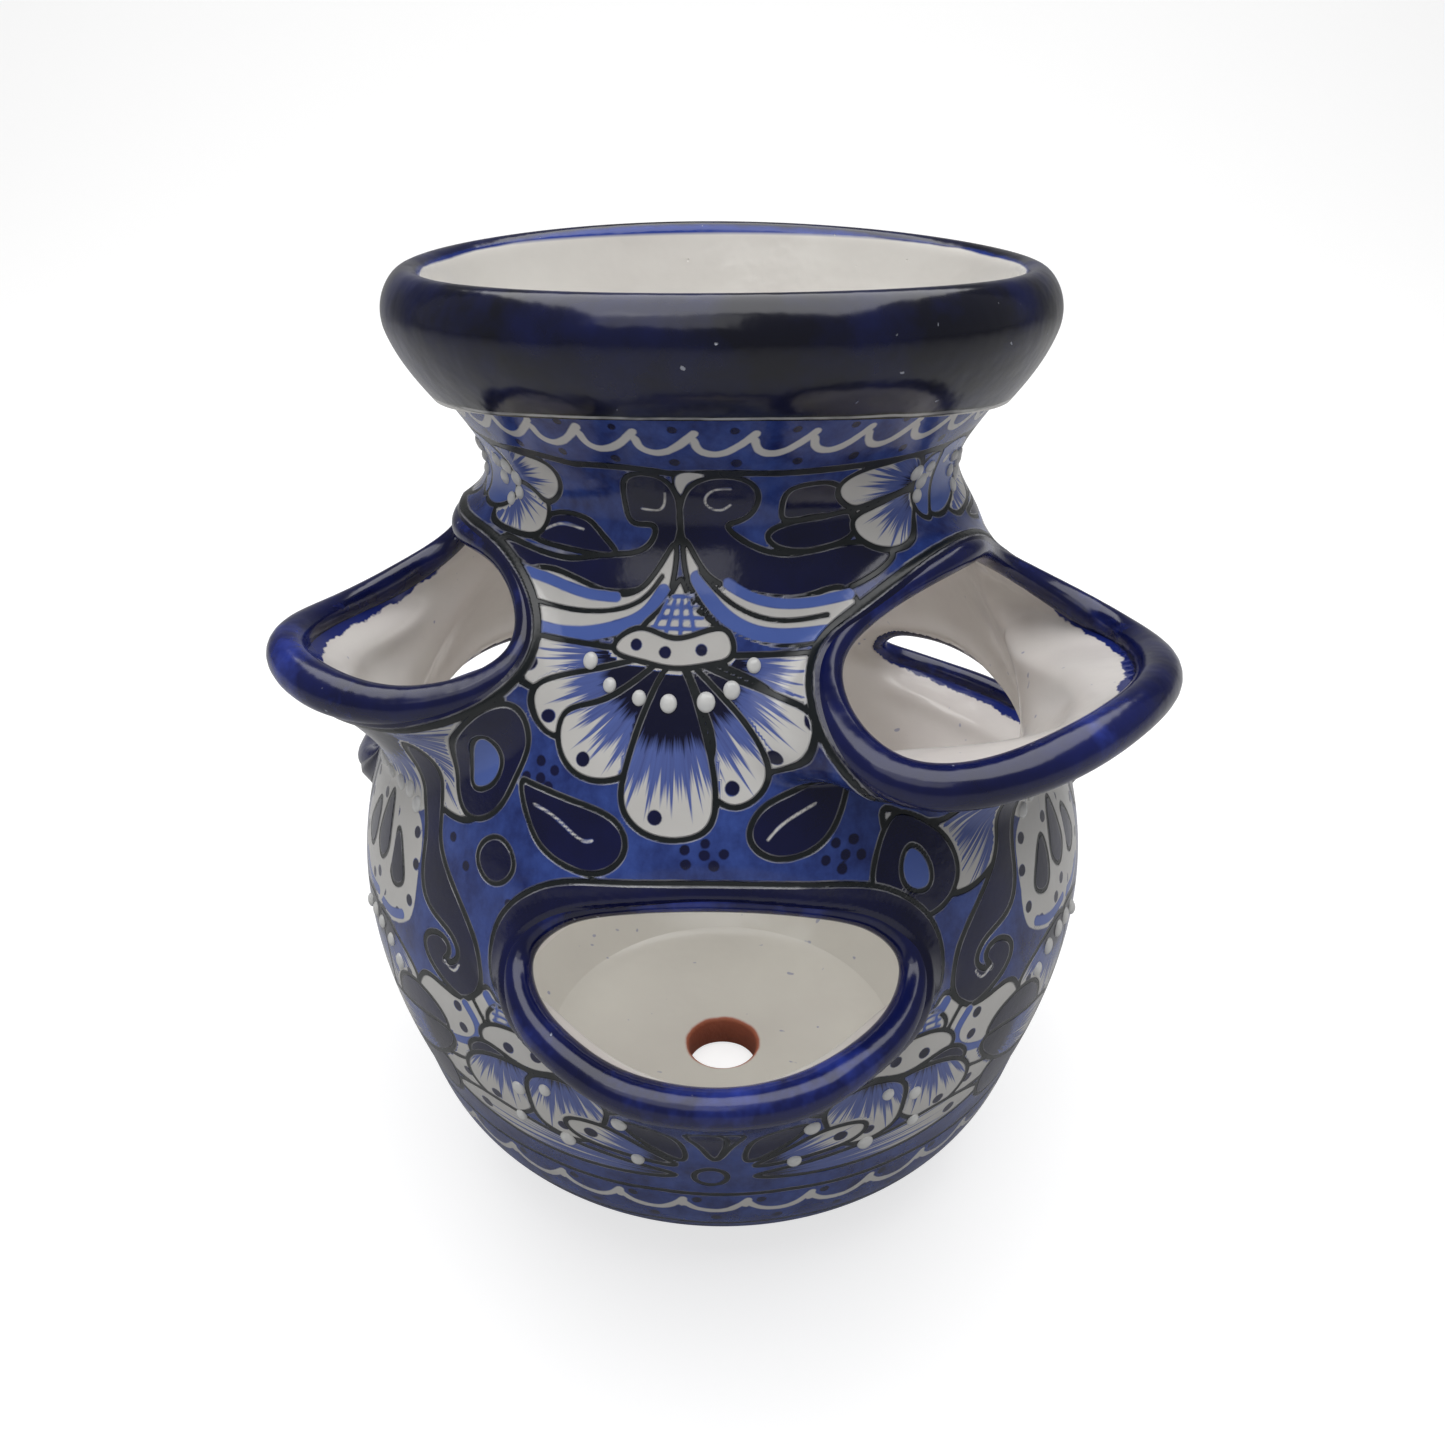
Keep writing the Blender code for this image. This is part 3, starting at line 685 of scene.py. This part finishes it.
def wall_half(name, first, count, outside_glaze, inside_glaze):
    """One half of the wall, from one column of the grid to another, as a closed shell."""
    columns = np.arange(first, first + count + 1) % COLUMNS
    outer, inner = outside[columns], inside[columns]
    wide, tall = count + 1, ROWS + 1
    index = np.arange(wide * tall).reshape(wide, tall)
    middle = (opening[columns][:-1, :-1] + opening[columns][1:, 1:]) / 2
    kept = middle > 0
    a, b, c, d = index[:-1, :-1], index[1:, :-1], index[1:, 1:], index[:-1, 1:]
    front = np.stack([a, b, c, d], -1)[kept]
    back = np.stack([a, d, c, b], -1)[kept] + wide * tall
    edges = np.concatenate([front[:, [i, (i + 1) % 4]] for i in range(4)])
    key = edges[:, 0].astype(np.int64) * wide * tall + edges[:, 1]
    twin = edges[:, 1].astype(np.int64) * wide * tall + edges[:, 0]
    border = edges[~np.isin(key, twin)]
    start, end = border[:, 0], border[:, 1]
    side = np.column_stack([end, start, start + wide * tall, end + wide * tall])
    faces = np.concatenate([front, back, side])
    points = np.concatenate([outer.reshape(-1, 3), inner.reshape(-1, 3)])
    used = np.zeros(len(points), bool)
    used[faces.ravel()] = True
    renumber = np.cumsum(used) - 1
    mesh = bpy.data.meshes.new(name)
    mesh.from_pydata(points[used].tolist(), [], renumber[faces].tolist())
    mesh.materials.append(outside_glaze)
    mesh.materials.append(inside_glaze)
    slots = np.zeros(len(faces), np.int32)
    slots[len(front):] = 1
    mesh.polygons.foreach_set("material_index", slots)
    for key, values in (*sheet.field.items(), ("tip", sheet.tip), ("fan", sheet.fan)):
        both = np.concatenate([values[columns].ravel(), np.full(wide * tall, 9.0)])[used]
        mesh.attributes.new(key, "FLOAT", "POINT").data.foreach_set("value", both.astype(np.float32))
    both = np.concatenate([out_rim[columns].ravel(), in_rim[columns].ravel()])[used]
    mesh.attributes.new("rim", "FLOAT", "POINT").data.foreach_set("value", both.astype(np.float32))
    mesh.shade_smooth()
    normals = np.concatenate([out_normals[columns].reshape(-1, 3), in_normals[columns].reshape(-1, 3)])
    mesh.normals_split_custom_set_from_vertices(normals[used].tolist())
    made = bpy.data.objects.new(name, mesh)
    bpy.context.scene.collection.objects.link(made)
    return made


outside_glaze, inside_glaze = painted_glaze(), inner_glaze()
for node, first in (("wall_front", 0), ("wall_back", COLUMNS // 2)):
    half = wall_half("painted_" + node, first, COLUMNS // 2, outside_glaze, inside_glaze)
    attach(half, "root")
    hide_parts(node)

# ---------------------------------------------------------------------------------------------
# The pocket rims.  A finger-thick coil of clay is luted round each opening and smoothed into the
# wall, then brushed with cobalt so thick that it fires nearly black, brighter where it runs thin.


def rim_glaze():
    """Thick cobalt, brighter where it ran thin, with a few pale pits."""
    made, shader, g = new_glaze("rim_glaze")
    place = g.node("ShaderNodeTexCoord", {}, out=3)
    wash = g.noise(place, 26.0, 4.0, 0.6)
    brush = g.noise(place, 120.0, 3.0, 0.6)
    colour = ((wash * 1.5 + brush * 0.5) - 0.70).limited().blend(NAVY, (0.008, 0.015, 0.14, 1))
    thin = g.noise(place, 55.0, 4.0, 0.7) * g.noise(place, 14.0, 2.0) * 6.0 - 1.75
    colour = (thin.limited() * 0.75).blend(colour, (0.030, 0.055, 0.36, 1))
    pits = g.noise(place, 420.0, 1.0).below(0.20, 0.03)
    colour = (pits * 0.7).blend(colour, (0.35, 0.38, 0.5, 1))
    roughness = wash * 0.12 + 0.12
    relief = g.noise(place, 60.0, 3.0) * 0.5 - pits * 0.15
    finish_glaze(g, shader, colour, roughness, relief, 0.0010)
    return made


rim_paint = rim_glaze()


def coil(name, pocket, paint, sides=24):
    """A closed roll along a rim, a little uneven as a hand-made one is."""
    line = pocket.rim
    count = len(line)
    ahead = np.roll(line, -1, 0) - np.roll(line, 1, 0)
    ahead /= np.linalg.norm(ahead, axis=1, keepdims=True)
    radial = np.column_stack([line[:, 0], line[:, 1], np.zeros(count)])
    across = np.cross(ahead, radial)
    across /= np.linalg.norm(across, axis=1, keepdims=True)
    other = np.cross(across, ahead)
    turn = np.linspace(0, 2 * math.pi, sides, endpoint=False)
    s = np.linspace(0, 2 * math.pi, count, endpoint=False)
    radius = pocket.roll * (1 + 0.035 * np.sin(3 * s + 1) + 0.025 * np.sin(7 * s + 2))
    ring = (np.cos(turn)[None, :, None] * across[:, None] + np.sin(turn)[None, :, None] * other[:, None])
    points = line[:, None] + radius[:, None, None] * ring
    index = np.arange(count * sides).reshape(count, sides)
    a, b = index, np.roll(index, -1, 0)
    faces = np.stack([a, np.roll(a, -1, 1), np.roll(b, -1, 1), b], -1).reshape(-1, 4)
    mesh = bpy.data.meshes.new(name)
    mesh.from_pydata(points.reshape(-1, 3).tolist(), [], faces.tolist())
    mesh.materials.append(paint)
    mesh.shade_smooth()
    made = bpy.data.objects.new(name, mesh)
    bpy.context.scene.collection.objects.link(made)
    bm = bmesh.new()
    bm.from_mesh(mesh)
    if bm.calc_volume(signed=True) < 0:
        bmesh.ops.reverse_faces(bm, faces=bm.faces[:])
        bm.to_mesh(mesh)
    bm.free()
    return made


for node, pocket in pockets.items():
    rolled = coil("rolled_" + node, pocket, rim_paint)
    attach(rolled, "root")
    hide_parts(node)

# ---------------------------------------------------------------------------------------------
# The mouth rim.  A thick roll thrown on at the top of the neck: it flares out from an incised
# line, turns over a round crest and runs down inside, where the cobalt ends in an uneven edge.

outer_foot = float(wall_radius(MOUTH_BASE))


def turned(name, profile, steps, paint, warp=None):
    """A closed profile of (radius, height) points, turned round the pot's axis and warped by hand.

    The mesh keeps how far along the profile each point is, in millimetres."""
    turn = np.linspace(0, 2 * math.pi, steps, endpoint=False)
    profile = np.array(profile)
    points = around(turn[:, None], profile[:, 0], np.broadcast_to(profile[:, 1], (steps, len(profile))))
    if warp:
        points = warp(points, turn[:, None])
    index = np.arange(points.shape[0] * points.shape[1]).reshape(points.shape[:2])
    a, b = index, np.roll(index, -1, 0)
    faces = np.stack([a, b, np.roll(b, -1, 1), np.roll(a, -1, 1)], -1).reshape(-1, 4)
    mesh = bpy.data.meshes.new(name)
    mesh.from_pydata(points.reshape(-1, 3).tolist(), [], faces.tolist())
    mesh.materials.append(paint)
    along = np.concatenate([[0], np.cumsum(np.hypot(*np.diff(profile, axis=0).T))]) * 1000
    along = np.tile(along, steps).astype(np.float32)
    mesh.attributes.new("along", "FLOAT", "POINT").data.foreach_set("value", along)
    bm = bmesh.new()
    bm.from_mesh(mesh)
    if bm.calc_volume(signed=True) < 0:
        bmesh.ops.reverse_faces(bm, faces=bm.faces[:])
    bm.to_mesh(mesh)
    bm.free()
    mesh.shade_smooth()
    mesh.set_sharp_from_angle(angle=math.radians(50))
    made = bpy.data.objects.new(name, mesh)
    bpy.context.scene.collection.objects.link(made)
    return made


crest = smooth_curve([
    (outer_foot + LAP, MOUTH_BASE), (0.0822, 0.2322), (0.0856, 0.2378), (0.0868, 0.2440), (0.0852, 0.2500),
    (0.0813, 0.2538), (0.0776, 0.2530), (0.0757, 0.2490), (0.0739, 0.2430), (outer_foot - 0.0088, MOUTH_BASE),
], 60, closed=False)


def hand_thrown(points, turn):
    """The mouth is a little oval, and its outer lap hangs lower at the sides."""
    side = np.sin(turn) ** 2
    rise = np.clip((points[..., 2] - MOUTH_BASE) / 0.012, 0, 1)
    radius = np.hypot(points[..., 0], points[..., 1])
    outer = np.clip((radius - outer_foot + 0.002) / 0.002, 0, 1)
    low = (1 - rise) * outer
    grow = 1 + side * (0.002 * rise - 0.034 * low) + 0.004 * np.sin(3 * turn + 0.6) * rise
    points[..., :2] *= grow[..., None]
    points[..., 2] -= side * low * 0.0085
    points[..., 2] += (0.0006 * np.sin(2 * turn + 1) - 0.0016 * side) * rise
    return points


def mouth_glaze():
    """The roll's cobalt over an incised line at its foot, and the white inside under a brushed edge."""
    made, shader, g = new_glaze("mouth_glaze")
    place = g.node("ShaderNodeTexCoord", {}, out=3)
    height, radius = place.height(), place.from_axis()
    wash = g.noise(place, 24.0, 4.0, 0.6)
    brush = g.noise(place, 110.0, 3.0, 0.6)
    high = (HEIGHT - 0.006 - height).below(0.0, 0.002)
    cobalt = (wash * 1.9 + brush * 0.6 - 1.12).limited()
    cobalt = cobalt.blend((0.003, 0.0035, 0.012, 1), (0.007, 0.013, 0.11, 1))
    bright = (0.0016 * brush + radius).below(0.0782, 0.0012) * high
    cobalt = (bright * 0.8).blend(cobalt, (0.022, 0.055, 0.34, 1))
    pits = g.noise(place, 380.0, 1.0).below(0.20, 0.03)
    cobalt = (pits * 0.8).blend(cobalt, (0.45, 0.47, 0.55, 1))
    foot = g.attribute("along") + g.noise(place, 70.0, 2.0) * 1.2
    # A pale grey band painted along the incised line at the roll's foot: a painted highlight on the groove's
    # edge
    pale = g.math("ABSOLUTE", foot - 1.5).below(0.40, 0.3) * (g.noise(place, 90.0, 2.0) * 3.0 - 0.8).limited()
    cobalt = foot.below(2.6, 0.4).blend(cobalt, BLACK)
    cobalt = pale.blend(cobalt, (0.50, 0.50, 0.49, 1))
    inner = (radius + 0.0010 * g.noise(place, 45.0, 2.0, 0.5)).below(0.0776, 0.0003)
    low = height.below(HEIGHT - 0.003, 0.001)
    clay = (wash * 1.3 - 0.2).limited().blend((0.68, 0.655, 0.62, 1), (0.78, 0.765, 0.72, 1))
    colour = (inner * low).blend(cobalt, clay)
    roughness = wash * 0.14 + 0.10
    relief = g.noise(place, 50.0, 3.0) * 0.6 - pits * 0.15
    finish_glaze(g, shader, colour, roughness, relief, 0.0010)
    return made


mouth = turned("rolled_mouth", crest, 240, mouth_glaze(), hand_thrown)
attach(mouth, "root")
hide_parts("mouth_rim")

# ---------------------------------------------------------------------------------------------
# The floor slab.  A rolled disc luted into the foot, its joint smoothed with a finger, and a
# drain hole cut through it after glazing, so that bare red clay shows in the hole and underneath.

FLOOR_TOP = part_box("floor_slab")[1].z
DRAIN = 0.0105
EASED = 0.0012
slab_edge = float(R_OUT[0, 0] - thick[0, 0]) - 0.0006
fillet = [(0.034, FLOOR_TOP), (0.044, FLOOR_TOP + 0.0006), (0.056, FLOOR_TOP + 0.0045), (0.0655, 0.0225)]
top = smooth_curve(fillet, 18, closed=False)
turns = np.radians((0, 30, 60, 90))
bore = [(DRAIN + EASED * (1 - math.sin(a)), FLOOR_TOP - EASED * (1 - math.cos(a))) for a in turns]
foot = [(DRAIN, 0.0008), (DRAIN + 0.0008, 0.0), (slab_edge, 0.0), (slab_edge + 0.004, 0.004)]


def floor_glaze():
    """The same white as the wall's inside, with bare red clay at the drain and underneath."""
    made, shader, g = new_glaze("floor_glaze")
    place = g.node("ShaderNodeTexCoord", {}, out=3)
    height, radius = place.height(), place.from_axis()
    wash = g.noise(place, 22.0, 4.0)
    clay = (wash * 1.5 - 0.25).limited().blend((0.59, 0.565, 0.52, 1), (0.69, 0.675, 0.61, 1))
    specks = g.noise(place, 260.0, 1.0).below(0.235, 0.03)
    clay = (specks * 0.55).blend(clay, SPECK)
    bare = (wash * 1.3).limited().blend((0.30, 0.075, 0.035, 1), (0.42, 0.13, 0.07, 1))
    edge = (radius + g.noise(place, 140.0) * 0.0012).below(DRAIN + 0.0016, 0.0008)
    colour = edge.blend(clay, bare)
    colour = height.below(0.002, 0.001).blend(colour, bare)
    roughness = edge * 0.5 + wash * 0.1 + 0.12
    relief = g.noise(place, 45.0, 3.0) * 0.5 + edge * g.noise(place, 900.0) * 0.25
    finish_glaze(g, shader, colour, roughness, relief, 0.0008)
    return made


slab = turned("floor", [*top[::-1], *bore, *foot], 160, floor_glaze())
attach(slab, "root")
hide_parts("floor_slab")

# ---------------------------------------------------------------------------------------------
# The raised dots.  Thick white enamel dropped on the finished painting in rows, each a low dome
# that keeps the shape of the drop.

DOT_RADIUS = 0.0018
DOT_RISE = 0.0010
# Where the drops lie on the unrolled wall: round the fan's heart, under the front pocket, on the half
# flowers of the neck, and across the side panels
enamel_places = [(-22.8, 170.2), (-18.6, 166.4), (-13.4, 164.4), (-8.6, 163.6), (-2.8, 164.2), (1.4, 166.6),
                 (5.2, 171.6)]
enamel_places += [(-24.5, 72.5), (-29, 69.5), (-22.5, 56.5), (-14, 67.5), (-12, 55), (22.5, 72.5), (27, 69.5),
                  (20.5, 56.5), (12, 67), (10, 55), (-30, 58.5), (28, 58.5)]
enamel_places += [(-58, 207.5), (-54, 206.6), (-51, 204), (-50.5, 200.4), (-54, 198.4), (-57, 202.8),
                  (45, 207.2), (48, 204.4), (47.4, 200.4), (49.4, 208)]
rows = [(2, 127.5), (5.4, 128.4), (8.4, 126.4), (1.6, 89.5), (5.4, 88.4), (8.2, 85)]
enamel_places += [(PANEL_AXIS + side * turn, height) for side in (-1, 1) for turn, height in rows]


def enamel_dots(name, places, paint):
    """Low domes on the wall, three times round it, left out where a pocket opens."""
    bm = bmesh.new()
    for number, (azimuth, height) in enumerate(places):
        for sector in range(3):
            column = round((azimuth + 120 * sector + 90) * COLUMNS / 360) % COLUMNS
            row = round(height / 1000 / (MOUTH_BASE + LAP) * ROWS)
            place, normal = Vector(outside[column, row]), Vector(out_normals[column, row])
            if opening[column, row] < 0.008:
                continue
            size = DOT_RADIUS * (1 + 0.15 * math.sin(5.1 * number + 2 * sector))
            made = bmesh.ops.create_icosphere(bm, subdivisions=3, radius=1.0)["verts"]
            spin = normal.to_track_quat("Z", "Y")
            for vert in made:
                drop = Vector((vert.co.x * size, vert.co.y * size * 1.12, vert.co.z * DOT_RISE))
                vert.co = place + spin @ drop
    mesh = bpy.data.meshes.new(name)
    bm.to_mesh(mesh)
    bm.free()
    mesh.materials.append(paint)
    mesh.shade_smooth()
    made = bpy.data.objects.new(name, mesh)
    bpy.context.scene.collection.objects.link(made)
    return made


def enamel():
    """Opaque white, glossy, a little thicker and greyer in places."""
    made, shader, g = new_glaze("white_enamel")
    place = g.node("ShaderNodeTexCoord", {}, out=3)
    wash = g.noise(place, 300.0, 2.0)
    colour = wash.blend((0.60, 0.61, 0.62, 1), (0.78, 0.77, 0.74, 1))
    finish_glaze(g, shader, colour, wash * 0.1 + 0.08, g.noise(place, 500.0, 2.0), 0.0002)
    return made


dropped = enamel_dots("enamel_dots", enamel_places, enamel())
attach(dropped, "root")
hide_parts("wall_front")

# ---------------------------------------------------------------------------------------------
# The table, the light tent and the camera.  One sheet of paper lies under the pot and curves up
# behind it.  To the eye it glows white, but it lights the pot only by what it throws back from the
# two soft lights, one overhead and one in front, and from the dim tent.

SWEEP_START, SWEEP = 1.2, 0.9
bm = bmesh.new()
turns = np.radians(np.arange(6, 91, 6))
profile = [(-3.0, 0.0), (SWEEP_START, 0.0)]
profile += [(SWEEP_START + SWEEP * math.sin(a), SWEEP - SWEEP * math.cos(a)) for a in turns]
profile += [(SWEEP_START + SWEEP, 4.0)]
left, right = [[bm.verts.new((x, y, z)) for y, z in profile] for x in (-4.0, 4.0)]
for i in range(len(profile) - 1):
    bm.faces.new((left[i], right[i], right[i + 1], left[i + 1]))
mesh = bpy.data.meshes.new("table")
bm.to_mesh(mesh)
bm.free()
mesh.shade_smooth()
table = bpy.data.objects.new("table", mesh)
bpy.context.scene.collection.objects.link(table)
paper = bpy.data.materials.new("paper")
paper.use_nodes = True
shader = paper.node_tree.nodes["Principled BSDF"]
shader.inputs["Base Color"].default_value = (0.42, 0.42, 0.42, 1)
shader.inputs["Roughness"].default_value = 0.9
seen = paper.node_tree.nodes.new("ShaderNodeLightPath")
paper.node_tree.links.new(seen.outputs["Is Camera Ray"], shader.inputs["Emission Color"])
shader.inputs["Emission Strength"].default_value = 0.70
table.data.materials.append(paper)


def softbox(name, place, aim, size, power):
    lamp = bpy.data.lights.new(name, "AREA")
    lamp.shape, lamp.size, lamp.size_y, lamp.energy = "RECTANGLE", size[0], size[1], power
    made = bpy.data.objects.new(name, lamp)
    made.location = place
    made.rotation_euler = (Vector(aim) - Vector(place)).to_track_quat("-Z", "Y").to_euler()
    bpy.context.scene.collection.objects.link(made)


middle = Vector((0, 0, HEIGHT / 2))
softbox("top_light", (0.0, 0.05, 1.5), middle, (2.2, 2.2), 40)
softbox("front_light", (-0.9, -2.4, 2.4), middle, (2.6, 1.4), 12)
world = bpy.data.worlds.new("tent")
bpy.context.scene.world = world
world.use_nodes = True
tent = Glaze(world.node_tree)
tint = tent.node("ShaderNodeLightPath").blend((0.20, 0.20, 0.20, 1), (0.95, 0.95, 0.95, 1))
world.node_tree.links.new(tint.socket, world.node_tree.nodes["Background"].inputs["Color"])
world.node_tree.nodes["Background"].inputs["Strength"].default_value = 1.0
bpy.context.scene.view_settings.view_transform = "Standard"

camera = bpy.data.objects.new("camera", bpy.data.cameras.new("camera"))
camera.data.sensor_width = 36
camera.data.lens = 31.75
camera.data.shift_y = -0.1826
camera.location = (0, -1.312 * HEIGHT, 1.145 * HEIGHT)
camera.rotation_euler = (math.pi / 2 - 0.272, 0, 0)
camera.data.clip_start = 0.01
bpy.context.scene.collection.objects.link(camera)
bpy.context.scene.camera = camera
